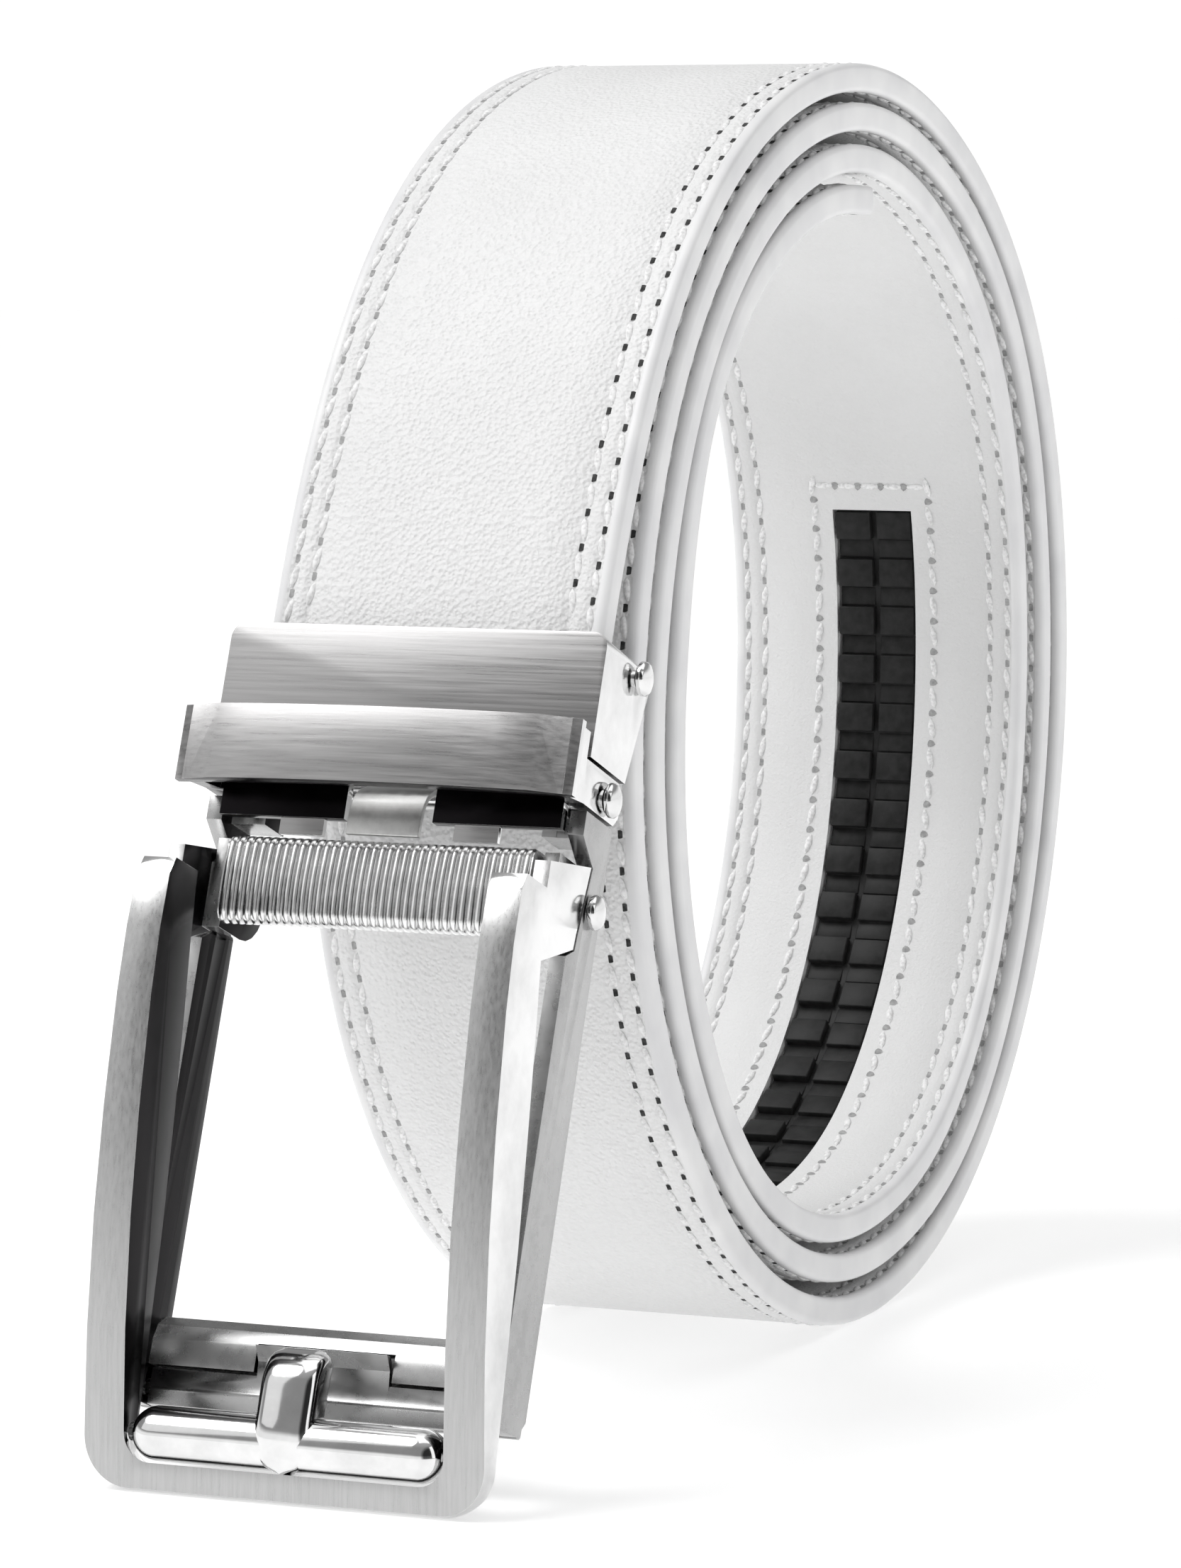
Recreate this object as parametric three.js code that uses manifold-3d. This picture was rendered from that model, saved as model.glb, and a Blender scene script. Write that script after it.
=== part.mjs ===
// A ratchet belt stored as a standing coil, with its buckle leaning out in front.
// Millimetres, +Z up, strap across X, buckle towards -Y, floor at z = 0.
import * as THREE from 'three';
import { mergeVertices } from 'three/addons/utils/BufferGeometryUtils.js';
import Module from 'manifold-3d';

const wasm = await Module();
wasm.setup();

// Strap and coil
const strapWidth = 35;
const strapThickness = 3;
const strapEdgeChamfer = 0.5;
const coilRadius = 69.5;
const layerGap = 1.35;
const tailAngle = 1171;
const strapStep = 6;
const restFlat = 0.12;

// Where the strap leaves the round coil for the clamp, in degrees up from the front
const takeOffAngle = 62;
const takeOffPull = 0.36;

// Ratchet track, let into the lining of the tail
const trackWidth = 9;
const trackThickness = 1.1;
const trackToothHeight = 0.55;
const toothPitch = 5.7;
const toothCount = 40;
const trackToTip = 49;
const trackSink = 0.1;

// Running and seating gaps
const fitGap = 0.3;
const pinGap = 0.3;
const seamGap = 0.4;

// Buckle, shared by all its pieces; heights run down from the hinge pin, depths out from it
const buckleTilt = THREE.MathUtils.degToRad(21.5);
const buckleStandOff = 8.2;
const strapSideRoom = 0.6;
const cheekWall = 1.6;
const lugWall = 1.5;
const lugRadius = 2.2;
const pinRadius = 0.8;
const hingePinRadius = 1;
const headRadius = 1.7;
const headRim = 0.4;
const headDome = 0.6;

// Clamp that holds the fixed end of the strap
const clampTop = -15;
const clampBottom = -2.7;
const clampOut = 5.4;
const clampPlateWall = 3.3;
const clampDepthTop = 9.6;
const clampDepthFull = 11.6;
const clampBevel = 2.6;
const clampCorner = 1.6;
const strapEndDown = -5.4;
const clampPinBelowTop = 1.9;
const barrelWall = 0.7;
const jawToothRun = 1.2;
const jawToothDepth = 0.35;
const jawWall = 1.2;

// Keeper loop above the ribbed bar
const keeperBarTop = -4.9;
const keeperBarBottom = 2.5;
const keeperBottom = 1.9;
const keeperOut = 11.3;
const keeperBarWall = 1.7;
const keeperBow = 1.1;
const keeperOverhang = 0.9;
const keeperEndRound = 0.8;
const keeperRear = 3.2;
const keeperCorner = 1;
const keeperWallOut = 5.6;
const keeperWallThickness = 1.1;
const keeperWallBottom = 4.4;
const keeperSlotWidth = 9.2;
const keeperPadWidth = 4.6;
const keeperPadHeight = 1.6;
const keeperPadSpacing = 18.2;
const springWidth = 7.6;
const springThickness = 0.6;

// Back frame
const railFront = 4.4;
const railRear = 2.3;
const frameBottom = 61;
const bottomBarHeight = 8.7;
const bottomBarFront = 1;
const frameCorner = 1.6;

// Front frame
const frontTop = 11.6;
const frontLength = 58.2;
const frontOut = 16.8;
const frontLegWidth = 3.4;
const frontCorner = 4.4;
const frontWindowCorner = 2.6;
const frontBottomRail = 2.4;
const frontFlare = 0.7;
const wingWall = 1.6;

// Ribbed bar on the frame pin
const framePinDown = 11;
const ribbedHeight = 8.8;
const ribbedOut = 6.7;
const ribbedRise = 0.2;
const ribbedRear = 2.6;
const ribbedCorner = 1.4;
const ribbedUnderRise = 2.8;
const ribDepth = 0.25;
const ribPitch = 0.83;
const ribbedCollar = 0.6;

// Round bar and prong at the mouth
const innerBarRadius = 2.6;
const innerBarGap = 0.35;
const innerBarOut = 5.7;
const journalRadius = 0.6;
const journalLength = 1.2;
const prongWidth = 5.4;
const prongThickness = 4.6;
const prongLength = 10.4;
const prongProud = 0.5;
const prongFoot = 1.9;

// Pawl that catches the track
const pawlThickness = 1.1;
const pawlOut = 0.1;
const pawlHeight = 3.5;
const pawlPivotUp = 1.6;
const pawlLipWidth = 13.6;
const pawlLipHeight = 2.7;
const pawlLipBend = 1.5;
const pawlSwingRoom = 0.85;

// Out of round of the coil: how far the outer face stands off an even spiral,
// as a share of the coil radius, by the angle wound since the buckle
const coilShape = [
  { angle: 62, bulge: 0.032 },
  { angle: 80, bulge: 0.022 },
  { angle: 112, bulge: 0.016 },
  { angle: 146, bulge: 0.032 },
  { angle: 175, bulge: 0.017 },
  { angle: 212, bulge: -0.004 },
  { angle: 270, bulge: -0.024 },
  { angle: 315, bulge: -0.02 },
  { angle: 344, bulge: 0.002 },
  { angle: 371, bulge: 0.015 },
  { angle: 400, bulge: 0.03 },
  { angle: 448, bulge: 0.023 },
  { angle: 472, bulge: 0.015 },
  { angle: 503, bulge: 0.024 },
  { angle: 535, bulge: -0.008 },
  { angle: 556, bulge: -0.016 },
  { angle: 594, bulge: -0.011 },
  { angle: 622, bulge: -0.027 },
  { angle: 680, bulge: -0.023 },
  { angle: 733, bulge: -0.001 },
  { angle: 765, bulge: 0.023 },
  { angle: 803, bulge: 0.025 },
  { angle: 832, bulge: 0.001 },
  { angle: 860, bulge: -0.018 },
  { angle: 893, bulge: -0.066 },
  { angle: 913, bulge: -0.071 },
  { angle: 962, bulge: -0.036 },
  { angle: 985, bulge: -0.033 },
  { angle: 1024, bulge: -0.016 },
  { angle: 1060, bulge: -0.024 },
  { angle: 1092, bulge: -0.016 },
  { angle: 1122, bulge: 0.033 },
  { angle: 1150, bulge: 0.034 },
  { angle: 1171, bulge: 0.022 },
];

// Side view of the front frame: front and back faces as shares of how far it
// stands out, by the share of its length
const frontShape = [
  { along: 0, front: 0.94, back: 0.655 },
  { along: 0.03, front: 0.99, back: 0.645 },
  { along: 0.12, front: 1, back: 0.6 },
  { along: 0.23, front: 0.976, back: 0.535 },
  { along: 0.41, front: 0.895, back: 0.445 },
  { along: 0.58, front: 0.786, back: 0.372 },
  { along: 0.76, front: 0.625, back: 0.32 },
  { along: 0.88, front: 0.485, back: 0.285 },
  { along: 0.96, front: 0.385, back: 0.262 },
  { along: 1, front: 0.335, back: 0.29 },
];

// Seam between the back frame's cheeks and the front frame's wings, from the frame pin
const seamLine = [
  { down: -4, out: 1.2 },
  { down: 2.8, out: 2.5 },
  { down: 4.4, out: 2.7 },
];

// One tooth of the track: how far its face drops, as a share of the tooth's height
const toothShape = [
  { share: 0, drop: 0 },
  { share: 0.57, drop: 0 },
  { share: 0.62, drop: 1 },
  { share: 0.96, drop: 1 },
];

// Places that follow from the sizes
const cheekInside = strapWidth / 2 + strapSideRoom;
const halfBuckle = cheekInside + cheekWall;
const buckleWidth = 2 * halfBuckle;
const earOutside = cheekInside - fitGap;
const earInside = earOutside - lugWall;
const innerLugOutside = earInside - fitGap;
const innerLugInside = innerLugOutside - lugWall;
const coverHalf = halfBuckle - fitGap;
const holeRadius = pinRadius + pinGap;
const hingeHoleRadius = hingePinRadius + pinGap;
const strapOut = clampOut - clampPlateWall - fitGap;
const jawFace = strapOut - strapThickness - fitGap;
const clampRear = clampOut - clampDepthFull;
const clampPinDown = clampTop + clampPinBelowTop;
const clampPinOut = jawFace - barrelWall - holeRadius;
const lugTop = strapEndDown + 2 * fitGap;
const railTop = keeperBottom + seamGap;
const frontBottom = frontTop + frontLength;
const frontWindowHalf = halfBuckle - frontLegWidth;
const frontWindowBottom = frontBottom - frontBottomRail;
const innerBarDown = frontWindowBottom - innerBarGap - innerBarRadius;
const innerBarHalf = frontWindowHalf - fitGap - innerBarRadius;
const ribbedHalf = earInside - fitGap;
const ribCount = Math.floor((2 * (ribbedHalf - ribbedCollar)) / ribPitch);
const ribbedRadius = ribbedHeight / 2;
const barStep = frameBottom - pawlHeight - fitGap;
const barFloor = pawlOut - pawlThickness / 2 - pawlSwingRoom;
const pawlPivotDown = frameBottom - pawlPivotUp;

// Solid helpers
function toSolid(geometry) {
  const bare = geometry.clone();
  bare.deleteAttribute('normal');
  bare.deleteAttribute('uv');
  const merged = mergeVertices(bare, 1e-5);
  const mesh = new wasm.Mesh({
    numProp: 3,
    vertProperties: new Float32Array(merged.attributes.position.array),
    triVerts: new Uint32Array(merged.index.array),
  });
  return new wasm.Manifold(mesh);
}

function toGeometry(solid) {
  const mesh = solid.getMesh();
  const geometry = new THREE.BufferGeometry();
  geometry.setAttribute('position', new THREE.BufferAttribute(new Float32Array(mesh.vertProperties), 3));
  geometry.setIndex(new THREE.BufferAttribute(new Uint32Array(mesh.triVerts), 1));
  geometry.computeVertexNormals();
  return geometry;
}

function join(...geometries) {
  let solid = toSolid(geometries[0]);
  for (const geometry of geometries.slice(1)) solid = solid.add(toSolid(geometry));
  return toGeometry(solid);
}

function cut(body, ...tools) {
  let solid = toSolid(body);
  for (const tool of tools) solid = solid.subtract(toSolid(tool));
  return toGeometry(solid);
}

function common(first, second) {
  return toGeometry(toSolid(first).intersect(toSolid(second)));
}

// A side outline given as [down, out] points, run across the buckle from left to right
const sideToBuckle = new THREE.Matrix4().set(0, 0, 1, 0, -1, 0, 0, 0, 0, -1, 0, 0, 0, 0, 0, 1);

function sidePrism(points, left, right) {
  const shape = new THREE.Shape(points.map(([down, out]) => new THREE.Vector2(out, down)));
  const geometry = new THREE.ExtrudeGeometry(shape, { depth: right - left, bevelEnabled: false });
  geometry.translate(0, 0, left);
  return geometry.applyMatrix4(sideToBuckle);
}

// A front outline given as a shape in x and -down, run through the buckle's depth
function frontPrism(shape, rear, front) {
  const geometry = new THREE.ExtrudeGeometry(shape, { depth: front - rear, bevelEnabled: false, curveSegments: 6 });
  geometry.rotateX(Math.PI / 2);
  return geometry.translate(0, -rear, 0);
}

function box(left, right, top, bottom, rear, front) {
  const geometry = new THREE.BoxGeometry(right - left, front - rear, bottom - top);
  return geometry.translate((left + right) / 2, -(front + rear) / 2, -(top + bottom) / 2);
}

function crossBar(radius, down, out, left, right) {
  const geometry = new THREE.CylinderGeometry(radius, radius, right - left, 20);
  geometry.rotateZ(Math.PI / 2);
  return geometry.translate((left + right) / 2, -out, -down);
}

// A hole right through the buckle
function crossHole(radius, down, out) {
  return crossBar(radius, down, out, -buckleWidth, buckleWidth);
}

function mirrored(geometry) {
  const copy = geometry.clone().scale(-1, 1, 1);
  const index = copy.index ? Array.from(copy.index.array) : [...Array(copy.attributes.position.count).keys()];
  for (let i = 0; i < index.length; i += 3) [index[i], index[i + 1]] = [index[i + 1], index[i]];
  copy.setIndex(index);
  return copy;
}

// A lug seen from the side: round about the pin, with straight flanks to a flat end
function lugDown(down, out, radius, endDown) {
  const side = Math.sign(down - endDown);
  const points = [];
  for (let i = 0; i <= 10; i++) {
    const turn = (Math.PI * i) / 10;
    points.push([down + side * radius * Math.sin(turn), out + radius * Math.cos(turn)]);
  }
  return [...points, [endDown, out - radius], [endDown, out + radius]];
}

function lugOut(down, out, radius, endOut) {
  return lugDown(out, down, radius, endOut).map(([across, along]) => [along, across]);
}

// A closed body through rows of corner points, all rows of one length
function loft(rows) {
  const size = rows[0].length;
  const positions = rows.flatMap((row) => row.flat());
  const index = [];
  for (let r = 0; r < rows.length - 1; r++) {
    for (let k = 0; k < size; k++) {
      const a = r * size + k;
      const b = r * size + ((k + 1) % size);
      index.push(a, a + size, b, b, a + size, b + size);
    }
  }
  const last = (rows.length - 1) * size;
  for (let k = 1; k < size - 1; k++) {
    index.push(0, k, k + 1);
    index.push(last, last + k + 1, last + k);
  }
  const geometry = new THREE.BufferGeometry();
  geometry.setAttribute('position', new THREE.Float32BufferAttribute(positions, 3));
  geometry.setIndex(index);
  geometry.computeVertexNormals();
  return geometry;
}

// Coil route
function bulgeAt(angle) {
  const last = coilShape.length - 1;
  let row = 0;
  while (row < last - 1 && coilShape[row + 1].angle < angle) row += 1;
  const slope = (i) => {
    const before = coilShape[Math.max(i - 1, 0)];
    const after = coilShape[Math.min(i + 1, last)];
    return (after.bulge - before.bulge) / (after.angle - before.angle);
  };
  const a = coilShape[row];
  const b = coilShape[row + 1];
  const span = b.angle - a.angle;
  const t = (angle - a.angle) / span;
  const t2 = t * t;
  const t3 = t2 * t;
  return (2 * t3 - 3 * t2 + 1) * a.bulge + (t3 - 2 * t2 + t) * span * slope(row)
    + (3 * t2 - 2 * t3) * b.bulge + (t3 - t2) * span * slope(row + 1);
}

function spiralPoint(angle) {
  const pitch = strapThickness + layerGap;
  const radius = coilRadius * (1 + bulgeAt(angle)) - (pitch * angle) / 360;
  const turn = THREE.MathUtils.degToRad(angle);
  return new THREE.Vector2(-radius * Math.cos(turn), radius * Math.sin(turn));
}


function frontFaces() {
  const rows = frontShape.map(({ along, front, back }) => ({
    down: frontTop + along * frontLength,
    front: front * frontOut,
    back: back * frontOut,
  }));
  const faces = rows.map(({ down, front }) => [down, front]);
  const backs = rows.map(({ down, back }) => [down, back]).reverse();
  return [...faces, ...backs];
}

// The buckle leans so that the foot of its front frame stands on the floor
const hingeHeight = Math.max(...frontFaces().map(([down, out]) => (
  down * Math.cos(buckleTilt) - out * Math.sin(buckleTilt)
)));
const hingeY = -(coilRadius + buckleStandOff);

function sidePlace(down, out) {
  const y = hingeY - down * Math.sin(buckleTilt) - out * Math.cos(buckleTilt);
  const z = hingeHeight - down * Math.cos(buckleTilt) + out * Math.sin(buckleTilt);
  return new THREE.Vector2(y, z);
}

function placed(geometry) {
  return geometry.rotateX(-buckleTilt).translate(0, hingeY, hingeHeight);
}

// Outer face of the strap from the clamp to the tip, as closely spaced points
function outerFace() {
  const angles = [];
  for (let angle = takeOffAngle; angle < tailAngle; angle += 1) angles.push(angle);
  angles.push(tailAngle);
  const coil = angles.map(spiralPoint);
  const lift = Math.min(...coil.map((p) => p.y)) + restFlat;
  for (const p of coil) p.y -= lift;

  const end = sidePlace(strapEndDown, strapOut);
  const mouth = sidePlace(clampTop, strapOut);
  const up = mouth.clone().sub(end).normalize();
  const along = coil[1].clone().sub(coil[0]).normalize();
  const pull = takeOffPull * mouth.distanceTo(coil[0]);
  const sweep = new THREE.CubicBezierCurve(
    mouth,
    mouth.clone().addScaledVector(up, pull),
    coil[0].clone().addScaledVector(along, -pull),
    coil[0],
  );
  return [end, ...sweep.getPoints(60), ...coil.slice(1)];
}

// Even stations along the strap, each with its place on the outer face, its
// outward normal and its length from the clamped end
function strapStations() {
  const points = outerFace();
  const lengths = [0];
  for (let i = 1; i < points.length; i++) lengths.push(lengths[i - 1] + points[i].distanceTo(points[i - 1]));
  const total = lengths[lengths.length - 1];
  const at = (length) => {
    let i = 1;
    while (i < points.length - 1 && lengths[i] < length) i += 1;
    const share = (length - lengths[i - 1]) / (lengths[i] - lengths[i - 1]);
    return points[i - 1].clone().lerp(points[i], share);
  };
  const count = Math.ceil(total / strapStep);
  const list = [];
  for (let i = 0; i <= count; i++) {
    const length = (total * i) / count;
    const ahead = at(Math.min(length + 1, total)).sub(at(Math.max(length - 1, 0))).normalize();
    list.push({ length, face: at(length), normal: new THREE.Vector2(-ahead.y, ahead.x) });
  }
  return list;
}

const stations = strapStations();
const strapLength = stations[stations.length - 1].length;
const trackEnd = strapLength - trackToTip;
const trackStart = trackEnd - toothCount * toothPitch;
const trackBase = strapThickness - trackThickness - trackSink;

function stationAt(length) {
  let i = 1;
  while (i < stations.length - 1 && stations[i].length < length) i += 1;
  const [a, b] = [stations[i - 1], stations[i]];
  const share = (length - a.length) / (b.length - a.length);
  return {
    length,
    face: a.face.clone().lerp(b.face, share),
    normal: a.normal.clone().lerp(b.normal, share).normalize(),
  };
}

// Corner points of an [across, depth below the outer face] outline at a station
function section({ face, normal }, outline) {
  return outline.map(([across, depth]) => {
    const p = face.clone().addScaledVector(normal, -depth);
    return [across, p.x, Math.max(p.y, 0)];
  });
}

function flatOutline(width, top, bottom) {
  const half = width / 2;
  return [[-half, top], [-half, bottom], [half, bottom], [half, top]];
}

function makeStrap() {
  const half = strapWidth / 2;
  const edge = strapEdgeChamfer;
  const outline = [
    [-half + edge, 0],
    [-half, edge],
    [-half, strapThickness - edge],
    [-half + edge, strapThickness],
    [half - edge, strapThickness],
    [half, strapThickness - edge],
    [half, edge],
    [half - edge, 0],
  ];
  const body = loft(stations.map((station) => section(station, outline)));
  const from = trackStart - fitGap;
  const to = trackEnd + fitGap;
  const inside = stations.filter(({ length }) => length > from && length < to);
  const pocket = flatOutline(trackWidth + 2 * fitGap, trackBase - fitGap, strapThickness + 1);
  return cut(body, loft([stationAt(from), ...inside, stationAt(to)].map((station) => section(station, pocket))));
}

function makeTrack() {
  const rows = [];
  for (let tooth = 0; tooth < toothCount; tooth++) {
    const start = trackStart + tooth * toothPitch;
    for (const { share, drop } of toothShape) {
      const outline = flatOutline(trackWidth, trackBase, trackBase + trackThickness - drop * trackToothHeight);
      rows.push(section(stationAt(start + share * toothPitch), outline));
    }
  }
  return loft(rows);
}

// Clamp case: front plate and two cheeks, with lugs that reach down to the hinge pin
function makeClampCase() {
  const plateRear = clampOut - clampPlateWall;
  const cheek = [
    [clampTop, clampOut],
    [clampTop, clampOut - clampDepthTop],
    [clampTop + clampBevel, clampRear],
    [clampBottom, clampRear + clampBevel],
    [clampBottom, clampOut],
  ];
  const face = new THREE.Shape();
  face.moveTo(-halfBuckle, -clampBottom);
  face.lineTo(halfBuckle, -clampBottom);
  face.lineTo(halfBuckle, -clampTop - clampCorner);
  face.absarc(halfBuckle - clampCorner, -clampTop - clampCorner, clampCorner, 0, Math.PI / 2);
  face.lineTo(-halfBuckle + clampCorner, -clampTop);
  face.absarc(-halfBuckle + clampCorner, -clampTop - clampCorner, clampCorner, Math.PI / 2, Math.PI);
  const side = common(sidePrism(cheek, cheekInside, halfBuckle), frontPrism(face, clampRear, clampOut));
  const lug = sidePrism(lugDown(0, 0, lugRadius, lugTop), earInside, earOutside);
  const foot = box(earInside, coverHalf, lugTop, clampBottom, -lugRadius, lugRadius);
  return cut(
    join(frontPrism(face, plateRear, clampOut), side, mirrored(side), lug, mirrored(lug), foot, mirrored(foot)),
    crossHole(holeRadius, clampPinDown, clampPinOut),
    crossHole(hingeHoleRadius, 0, 0),
  );
}

// Toothed jaw behind the strap, hung on the clamp pin
function makeClampJaw() {
  const jawEnd = strapEndDown - jawToothDepth;
  const teeth = [];
  for (let down = clampPinDown; down + jawToothRun <= jawEnd; down += jawToothRun) {
    teeth.push([down, jawFace], [down + 0.7 * jawToothRun, jawFace - jawToothDepth]);
  }
  const jaw = [...teeth, [jawEnd, jawFace - jawToothDepth], [jawEnd, jawFace - jawWall], [clampPinDown, clampPinOut]];
  return cut(
    join(
      crossBar(holeRadius + barrelWall, clampPinDown, clampPinOut, -earOutside, earOutside),
      sidePrism(jaw, -earOutside, earOutside),
    ),
    crossHole(holeRadius, clampPinDown, clampPinOut),
  );
}

// Keeper: bowed front bar, cheeks on the hinge pin and a wall behind the strap's way
function makeKeeper() {
  const barHalf = halfBuckle + keeperOverhang;
  const barRear = keeperOut - keeperBarWall;
  const front = [];
  const rear = [];
  for (let i = -5; i <= 5; i++) {
    const bow = keeperBow * (1 - (i / 5) ** 2);
    const round = Math.abs(i) === 5 ? keeperEndRound : 0;
    front.push(new THREE.Vector2((barHalf * i) / 5, -(keeperOut + bow - round)));
    rear.unshift(new THREE.Vector2((barHalf * i) / 5, -(barRear + bow)));
  }
  const bar = new THREE.ExtrudeGeometry(new THREE.Shape([...front, ...rear]), {
    depth: keeperBarBottom - keeperBarTop,
    bevelEnabled: false,
  });
  bar.translate(0, 0, -keeperBarBottom);
  const top = clampBottom + seamGap;
  const overClamp = clampOut + 2 * seamGap;
  const cheekFront = keeperOut - keeperBarWall / 4;
  const cheek = [
    [keeperBarTop, overClamp],
    [keeperBarTop, cheekFront],
    [keeperBarBottom, cheekFront],
    [keeperBottom, keeperWallOut],
    [keeperBottom, -keeperRear + keeperCorner],
    [keeperBottom - keeperCorner, -keeperRear],
    [top + keeperCorner, -keeperRear],
    [top, -keeperRear + keeperCorner],
    [top, overClamp],
  ];
  const side = sidePrism(cheek, cheekInside, halfBuckle);
  const wallRear = keeperWallOut - keeperWallThickness;
  const upperWall = box(-coverHalf, coverHalf, top + seamGap, keeperBottom, wallRear, keeperWallOut);
  const lowerWall = box(-earOutside, earOutside, top + seamGap, keeperWallBottom, wallRear, keeperWallOut);
  const padInside = (keeperPadSpacing - keeperPadWidth) / 2;
  const padBottom = keeperWallBottom + keeperPadHeight;
  const padOut = keeperWallOut - seamGap;
  const pad = box(padInside, padInside + keeperPadWidth, keeperBottom, padBottom, wallRear, padOut);
  const halfSlot = keeperSlotWidth / 2;
  const slot = box(-halfSlot, halfSlot, 0, padBottom, wallRear - 1, keeperWallOut + 1);
  return cut(
    join(bar, side, mirrored(side), upperWall, lowerWall, pad, mirrored(pad)),
    slot,
    crossHole(hingeHoleRadius, 0, 0),
  );
}

// Outline of a strip along a curve of [down, out] points
function stripOutline(places, thickness, steps) {
  const curve = new THREE.SplineCurve(places.map(([down, out]) => new THREE.Vector2(down, out)));
  const upper = [];
  const lower = [];
  for (let i = 0; i <= steps; i++) {
    const p = curve.getPoint(i / steps);
    const along = curve.getTangent(i / steps).multiplyScalar(thickness / 2);
    upper.push([p.x - along.y, p.y + along.x]);
    lower.unshift([p.x + along.y, p.y - along.x]);
  }
  return [...upper, ...lower];
}

// Leaf spring curled round the hinge pin, its tongue standing on the ribbed bar
function makeKeeperSpring() {
  const curl = hingeHoleRadius + springThickness / 2;
  const slant = curl * Math.SQRT1_2;
  const out = keeperWallOut + fitGap + springThickness / 2;
  const end = framePinDown - ribbedRise - ribbedRadius - fitGap;
  const places = [
    [slant, -slant],
    [0, -curl],
    [-slant, -slant],
    [-curl, 0],
    [-slant, slant],
    [0, curl],
    [end / 6, (curl + out) / 2],
    [end / 2.7, out - springThickness],
    [0.7 * end, out],
    [end, out],
  ];
  return sidePrism(stripOutline(places, springThickness, 22), -springWidth / 2, springWidth / 2);
}

function seamAt(offset) {
  return seamLine.map(({ down, out }) => [framePinDown + down, out + offset]);
}

// Back frame: two rails, a bottom bar with a seat for the pawl, and lugs on the hinge pin
function makeBackFrame() {
  const seam = seamAt(-seamGap / 2);
  const [seamTop] = seam;
  const rail = [
    [railTop, -railRear],
    [railTop, railFront],
    [(railTop + seamTop[0]) / 2, railFront],
    ...seam,
    [framePinDown + ribbedRadius + 1, railFront],
    [frameBottom, railFront],
    [frameBottom, -railRear + frameCorner],
    [frameBottom - frameCorner, -railRear],
  ];
  const side = sidePrism(rail, cheekInside, halfBuckle);
  const barTop = frameBottom - bottomBarHeight;
  const bar = [
    [barTop, -railRear],
    [barTop, -railRear / 2],
    [barTop + bottomBarFront, bottomBarFront / 3],
    [barTop + 2.5 * bottomBarFront, bottomBarFront],
    [barStep, bottomBarFront],
    [barStep, barFloor],
    [frameBottom, barFloor],
    [frameBottom, -railRear + fitGap],
    [frameBottom - fitGap, -railRear],
  ];
  const lug = sidePrism(lugDown(0, 0, lugRadius, keeperWallBottom), innerLugInside, innerLugOutside);
  const web = box(innerLugInside, coverHalf, lugRadius + fitGap, keeperWallBottom, -lugRadius + 0.1, lugRadius - 0.1);
  const lipHalf = pawlLipWidth / 2 + fitGap;
  const lipTop = barStep - pawlLipHeight;
  return cut(
    join(side, mirrored(side), sidePrism(bar, -coverHalf, coverHalf), lug, mirrored(lug), web, mirrored(web)),
    box(-lipHalf, lipHalf, lipTop, barStep + 1, barFloor, bottomBarFront + 1),
    crossHole(hingeHoleRadius, 0, 0),
    crossHole(holeRadius, framePinDown, 0),
    crossBar(journalRadius + pinGap, pawlPivotDown, pawlOut, -coverHalf + fitGap, coverHalf - fitGap),
  );
}

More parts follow.
